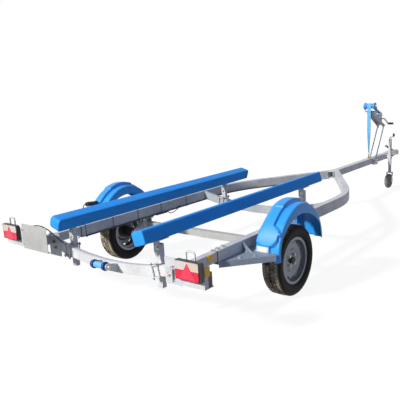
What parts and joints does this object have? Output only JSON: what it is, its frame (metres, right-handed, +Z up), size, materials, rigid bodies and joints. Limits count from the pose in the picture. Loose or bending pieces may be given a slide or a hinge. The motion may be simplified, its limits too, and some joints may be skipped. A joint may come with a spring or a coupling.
{
  "type": "boat trailer",
  "caption": "Single-axle galvanised boat trailer with blue bunks, plastic mudguards, winch post with strap and bow roller, keel roller, jockey wheel and ball coupling.",
  "frame": {"origin": "on the ground under the middle of the trailer's length and width", "axes": "+X forward to the coupling, +Y to the left, +Z up"},
  "size_m": [6.173, 2.087, 1.277],
  "materials": {
    "galvanised": "hot-dip galvanised, mottled",
    "zinc": "zinc plated, satin",
    "bunk_blue": "ribless moulded cover, satin",
    "guard_blue": "moulded, semi-gloss",
    "tyre_rubber": "matt with dusty tread",
    "rim_silver": "silver paint, satin",
    "hub_dark": "dark, matt",
    "lamp_black": "matt moulded",
    "lens_red": "moulded lens, glossy",
    "amber": "prismatic, glossy",
    "roller_blue": "satin rubber",
    "strap_blue": "woven webbing",
    "jockey_rubber": "matt rubber",
    "loom_black": "matt conduit"
  },
  "bodies": {
    "chassis": {"rail_left": "galvanised", "rail_right": "galvanised", "leg_left": "galvanised", "leg_right": "galvanised", "drawbar": "galvanised", "rear_crossmember": "galvanised", "front_crossmember": "galvanised", "corner_plates": "galvanised", "bunk_left": "bunk_blue", "bunk_right": "bunk_blue", "bunk_posts": "galvanised", "bunk_brackets": "galvanised", "post_clamps": "zinc", "axle_tube": "galvanised", "axle_hangers": "galvanised", "torsion_arm_left": "galvanised", "torsion_arm_right": "galvanised", "mudguard_left": "guard_blue", "mudguard_right": "guard_blue", "wing_plate_left": "galvanised", "wing_plate_right": "galvanised", "guard_brackets": "galvanised", "lamp_plate_left": "galvanised", "lamp_plate_right": "galvanised", "lamp_housing_left": "lamp_black", "lamp_housing_right": "lamp_black", "lamp_lens_left": "lens_red", "lamp_lens_right": "lens_red", "side_markers": "lamp_black", "amber_reflectors": "amber", "plate_carrier": "galvanised", "keel_roller_ears": "galvanised", "winch_post": "galvanised", "winch_arm": "galvanised", "bow_roller_yoke": "galvanised", "winch_post_clamp": "galvanised", "winch_frame": "zinc", "winch_drum": "zinc", "winch_crank": "zinc", "winch_strap": "strap_blue", "strap_eye": "galvanised", "jockey_outer_tube": "galvanised", "jockey_clamp": "galvanised", "jockey_crank": "zinc", "coupling_body": "zinc", "coupling_lever": "zinc", "wiring_loom": "loom_black"},
    "wheel_left": {"hub_left": "hub_dark", "rim_left": "rim_silver", "tyre_left": "tyre_rubber"},
    "wheel_right": {"hub_right": "hub_dark", "rim_right": "rim_silver", "tyre_right": "tyre_rubber"},
    "jockey_leg": {"jockey_inner_tube": "galvanised"},
    "jockey_castor": {"jockey_fork": "galvanised"},
    "jockey_roll": {"jockey_wheel": "jockey_rubber"},
    "keel_roller_body": {"keel_roller": "roller_blue"},
    "bow_roller_body": {"bow_roller": "roller_blue"}
  },
  "joints": [
    {"name": "wheel_left_spin", "type": "hinge", "parent": "chassis", "child": "wheel_left", "pos_m": [-1.8745, 0.908, 0.2735], "axis": [0, 1, 0], "continuous": true},
    {"name": "wheel_right_spin", "type": "hinge", "parent": "chassis", "child": "wheel_right", "pos_m": [-1.8745, -0.908, 0.2735], "axis": [0, 1, 0], "continuous": true},
    {"name": "jockey_lift", "type": "slide", "parent": "chassis", "child": "jockey_leg", "axis": [0, 0, 1], "range_m": [0, 0.1]},
    {"name": "jockey_swivel", "type": "hinge", "parent": "jockey_leg", "child": "jockey_castor", "pos_m": [2.5255, -0.1, 0.232], "axis": [0, 0, 1], "continuous": true},
    {"name": "jockey_wheel_spin", "type": "hinge", "parent": "jockey_castor", "child": "jockey_roll", "pos_m": [2.4835, -0.1, 0.105], "axis": [0, 1, 0], "continuous": true},
    {"name": "keel_roller_spin", "type": "hinge", "parent": "chassis", "child": "keel_roller_body", "pos_m": [-2.9615, 0, 0.398], "axis": [0, 1, 0], "continuous": true},
    {"name": "bow_roller_spin", "type": "hinge", "parent": "chassis", "child": "bow_roller_body", "pos_m": [2.0055, 0, 1.23], "axis": [0, 1, 0], "continuous": true}
  ]
}
